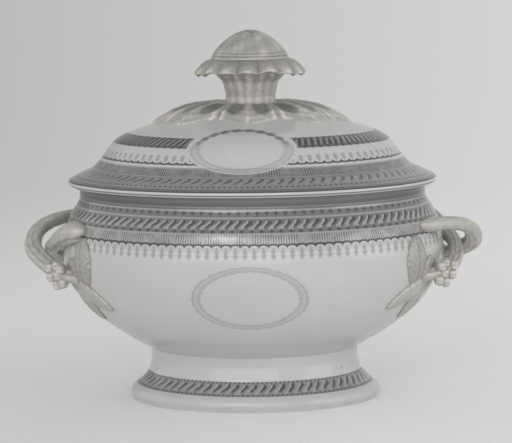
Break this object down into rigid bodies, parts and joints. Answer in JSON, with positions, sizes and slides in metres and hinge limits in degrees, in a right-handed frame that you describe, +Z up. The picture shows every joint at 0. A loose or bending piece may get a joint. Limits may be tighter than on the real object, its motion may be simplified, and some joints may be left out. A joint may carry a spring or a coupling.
{
  "type": "soup tureen with cover",
  "caption": "Oval porcelain soup tureen on a spreading foot, with a domed lift-off cover, flower knob and entwined leaf handles.",
  "frame": {"origin": "centre of the foot's underside, on the surface that the tureen stands on", "axes": "+X along the length, from handle to handle; +Y across, with the front of the picture towards -Y; +Z up"},
  "size_m": [0.353, 0.2232, 0.283],
  "materials": {
    "porcelain": "glossy glaze",
    "gilded_porcelain": "worn matt gilding over glaze"
  },
  "bodies": {
    "tureen": {"bowl": "porcelain", "foot": "porcelain", "left_outer_strand": "gilded_porcelain", "left_inner_strand": "gilded_porcelain", "left_front_sprig": "gilded_porcelain", "left_front_berries": "gilded_porcelain", "left_rear_sprig": "gilded_porcelain", "left_rear_berries": "gilded_porcelain", "right_outer_strand": "gilded_porcelain", "right_inner_strand": "gilded_porcelain", "right_front_sprig": "gilded_porcelain", "right_front_berries": "gilded_porcelain", "right_rear_sprig": "gilded_porcelain", "right_rear_berries": "gilded_porcelain"},
    "cover": {"cover_shell": "porcelain", "locating_flange": "porcelain", "leaf_rosette": "gilded_porcelain", "knob_stem": "gilded_porcelain", "knob_collar": "gilded_porcelain", "knob_bud": "gilded_porcelain"}
  },
  "joints": [
    {"name": "cover_lift", "type": "slide", "parent": "tureen", "child": "cover", "axis": [0, 0, 1], "range_m": [0, 0.15]}
  ]
}
